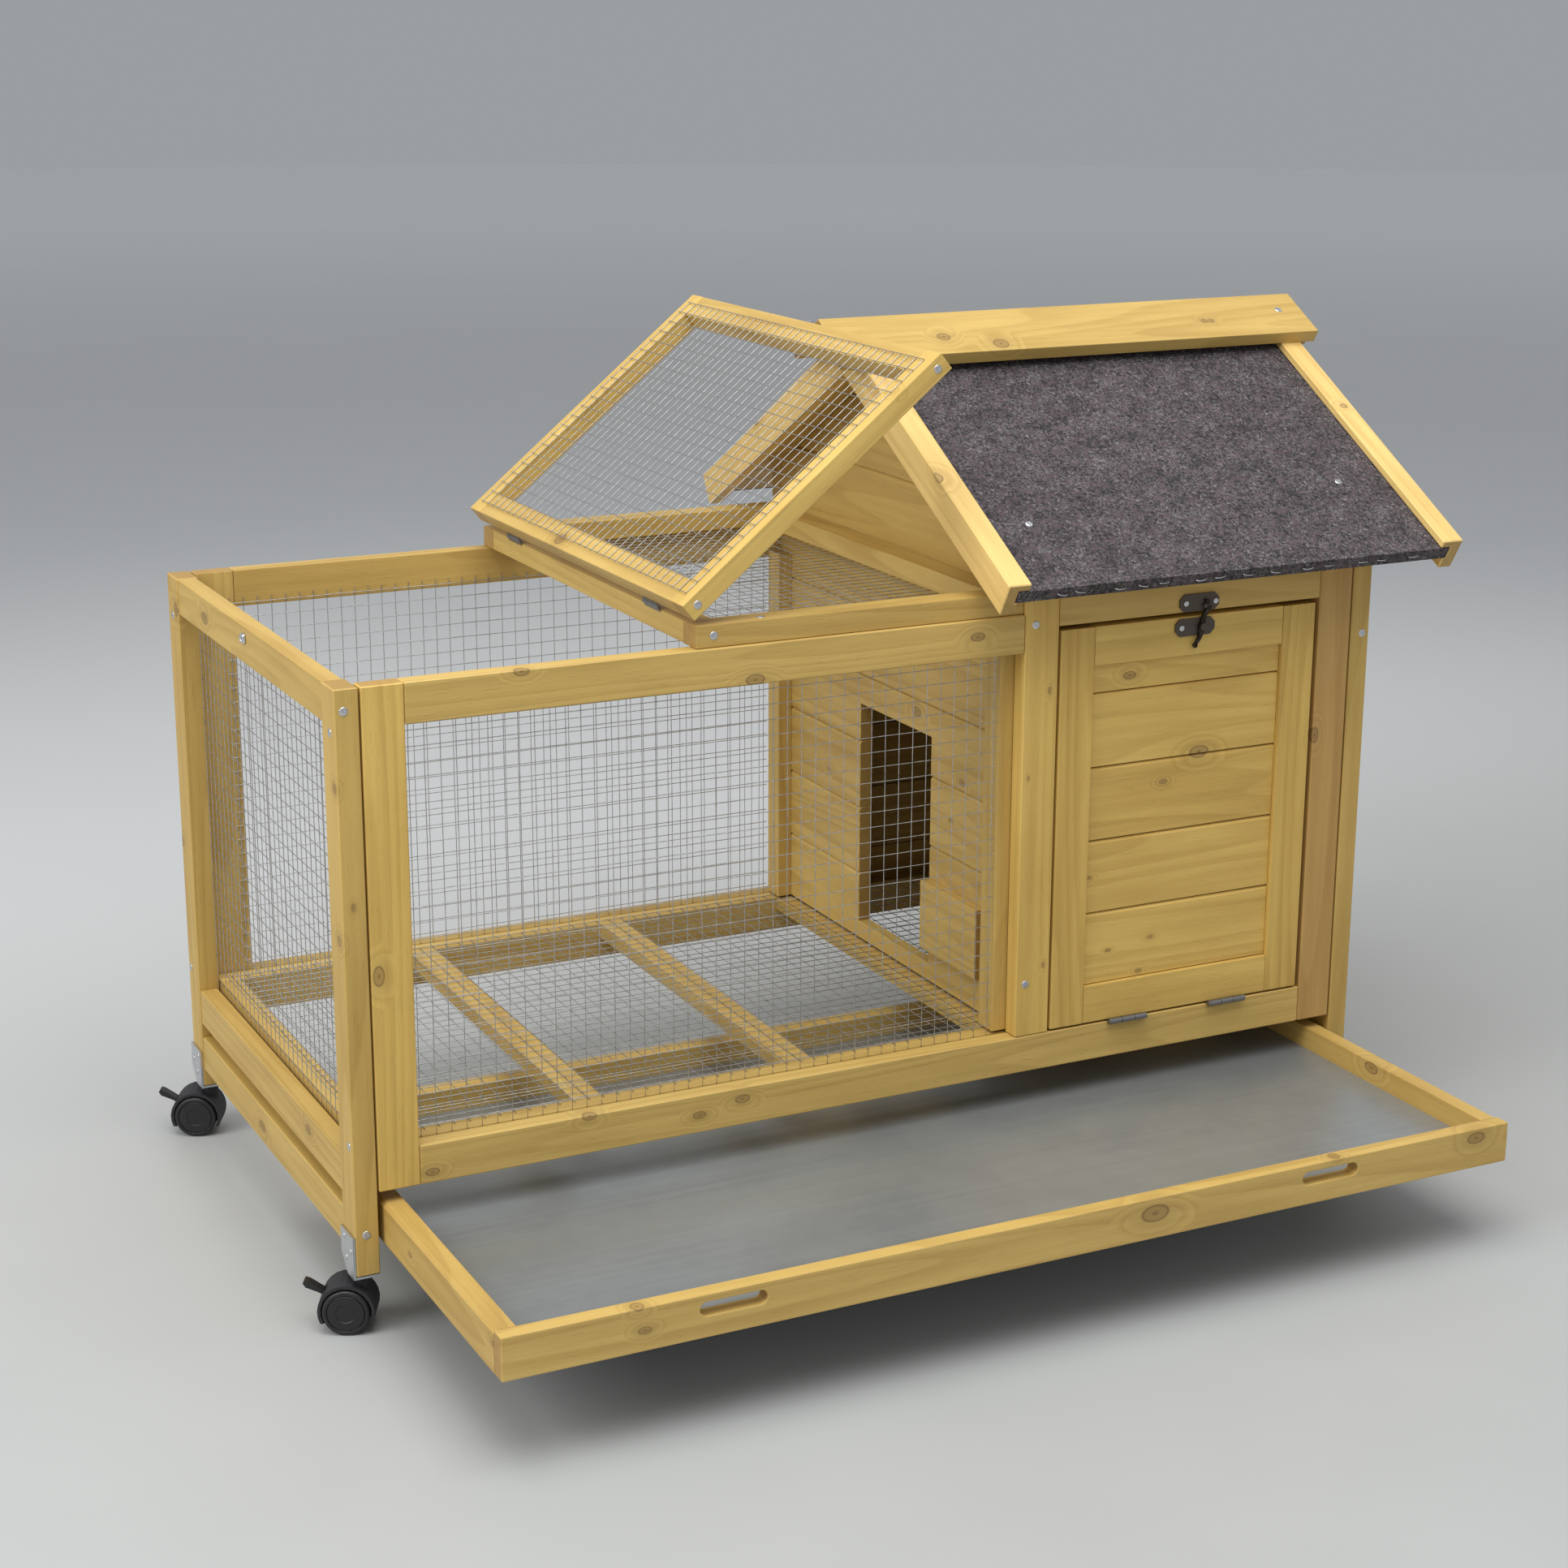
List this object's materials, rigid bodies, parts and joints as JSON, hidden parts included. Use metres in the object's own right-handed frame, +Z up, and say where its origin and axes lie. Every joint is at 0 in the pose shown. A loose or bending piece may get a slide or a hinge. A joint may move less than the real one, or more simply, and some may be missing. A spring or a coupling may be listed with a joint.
{
  "type": "chicken coop",
  "caption": "Small wheeled pet coop: wire run with hinged lid, gabled timber house with drop-down door, and pull-out tray under a wire floor.",
  "frame": {"origin": "centre of the overall box at floor level, with the tray drawn and the lid open", "axes": "+X from the run to the house, +Y from the door side to the back, +Z up"},
  "size_m": [1.0394, 0.7772, 0.7375],
  "materials": {
    "wood": "honey stained fir, satin",
    "wire": "galvanised welded wire",
    "zinc": "zinc plated",
    "bronze": "dark bronze",
    "nylon": "black nylon",
    "sheet": "satin galvanised sheet",
    "felt": "mineral roofing felt"
  },
  "bodies": {
    "coop": {"leg_front_left": "wood", "leg_back_left": "wood", "leg_front_right": "wood", "leg_back_right": "wood", "left_end_top_rail": "wood", "left_end_mid_rail": "wood", "left_end_low_rail": "wood", "front_left_stile": "wood", "front_top_rail": "wood", "front_bottom_rail": "wood", "front_house_stile": "wood", "front_right_stile": "wood", "door_header": "wood", "back_panel": "wood", "floor_frame": "wood", "house_left_wall": "wood", "house_right_wall": "wood", "roof_board_front": "wood", "roof_board_back": "wood", "ridge_cap": "wood", "left_verge_trim": "wood", "right_verge_trim": "wood", "top_frame": "wood", "front_net": "wire", "back_net": "wire", "end_net": "wire", "floor_net": "wire", "top_net": "wire", "door_hinge_left": "zinc", "door_hinge_right": "zinc", "lid_hinge_front_fixed": "zinc", "lid_hinge_back_fixed": "zinc", "lid_catch_strike": "zinc", "caster_bracket_front_left": "zinc", "caster_bracket_back_left": "zinc", "caster_bracket_front_right": "zinc", "caster_bracket_back_right": "zinc", "hasp_header_plate": "bronze", "roof_felt": "felt"},
    "lid": {"lid_frame": "wood", "lid_net": "wire", "lid_hinge_front_moving": "zinc", "lid_hinge_back_moving": "zinc", "lid_catch_tab": "zinc"},
    "door": {"door_frame": "wood", "door_panel": "wood", "hasp_door_plate": "bronze"},
    "hook": {"hasp_hook": "bronze"},
    "tray": {"tray_frame": "wood", "tray_sheet": "sheet"},
    "swivel_front_left": {"caster_body_front_left": "nylon"},
    "wheels_front_left": {"caster_wheels_front_left": "nylon"},
    "brake_front_left": {"brake_lever_front_left": "nylon"},
    "swivel_back_left": {"caster_body_back_left": "nylon"},
    "wheels_back_left": {"caster_wheels_back_left": "nylon"},
    "brake_back_left": {"brake_lever_back_left": "nylon"},
    "swivel_front_right": {"caster_body_front_right": "nylon"},
    "wheels_front_right": {"caster_wheels_front_right": "nylon"},
    "swivel_back_right": {"caster_body_back_right": "nylon"},
    "wheels_back_right": {"caster_wheels_back_right": "nylon"}
  },
  "joints": [
    {"name": "lid_hinge", "type": "hinge", "parent": "coop", "child": "lid", "pos_m": [-0.19431, 0.09932, 0.53877], "axis": [0, 1, 0], "range_deg": [-140.86, 0]},
    {"name": "door_hinge", "type": "hinge", "parent": "coop", "child": "door", "pos_m": [0.26499, -0.13978, 0.15072], "axis": [1, 0, 0], "range_deg": [0, 95]},
    {"name": "hook_turn", "type": "hinge", "parent": "door", "child": "hook", "pos_m": [0.27399, -0.14067, 0.49277], "axis": [0, 1, 0], "range_deg": [0, 110]},
    {"name": "tray_slide", "type": "slide", "parent": "coop", "child": "tray", "axis": [0, -1, 0], "range_m": [-0.2522, 0.17]},
    {"name": "swivel_front_left", "type": "hinge", "parent": "coop", "child": "swivel_front_left", "pos_m": [-0.47585, -0.12087, 0.04977], "axis": [0, 0, 1], "continuous": true},
    {"name": "axle_front_left", "type": "hinge", "parent": "swivel_front_left", "child": "wheels_front_left", "pos_m": [-0.48664, -0.11561, 0.01877], "axis": [0.4384, 0.8988, 0], "continuous": true},
    {"name": "brake_front_left", "type": "hinge", "parent": "swivel_front_left", "child": "brake_front_left", "pos_m": [-0.50284, -0.10772, 0.03003], "axis": [0.4384, 0.8988, 0], "range_deg": [-12, 0]},
    {"name": "swivel_back_left", "type": "hinge", "parent": "coop", "child": "swivel_back_left", "pos_m": [-0.47585, 0.31953, 0.04977], "axis": [0, 0, 1], "continuous": true},
    {"name": "axle_back_left", "type": "hinge", "parent": "swivel_back_left", "child": "wheels_back_left", "pos_m": [-0.48664, 0.32479, 0.01877], "axis": [0.4384, 0.8988, 0], "continuous": true},
    {"name": "brake_back_left", "type": "hinge", "parent": "swivel_back_left", "child": "brake_back_left", "pos_m": [-0.50284, 0.33269, 0.03003], "axis": [0.4384, 0.8988, 0], "range_deg": [-12, 0]},
    {"name": "swivel_front_right", "type": "hinge", "parent": "coop", "child": "swivel_front_right", "pos_m": [0.44224, -0.12087, 0.04977], "axis": [0, 0, 1], "continuous": true},
    {"name": "axle_front_right", "type": "hinge", "parent": "swivel_front_right", "child": "wheels_front_right", "pos_m": [0.43146, -0.11561, 0.01877], "axis": [0.4384, 0.8988, 0], "continuous": true},
    {"name": "swivel_back_right", "type": "hinge", "parent": "coop", "child": "swivel_back_right", "pos_m": [0.44224, 0.31953, 0.04977], "axis": [0, 0, 1], "continuous": true},
    {"name": "axle_back_right", "type": "hinge", "parent": "swivel_back_right", "child": "wheels_back_right", "pos_m": [0.43146, 0.32479, 0.01877], "axis": [0.4384, 0.8988, 0], "continuous": true}
  ]
}
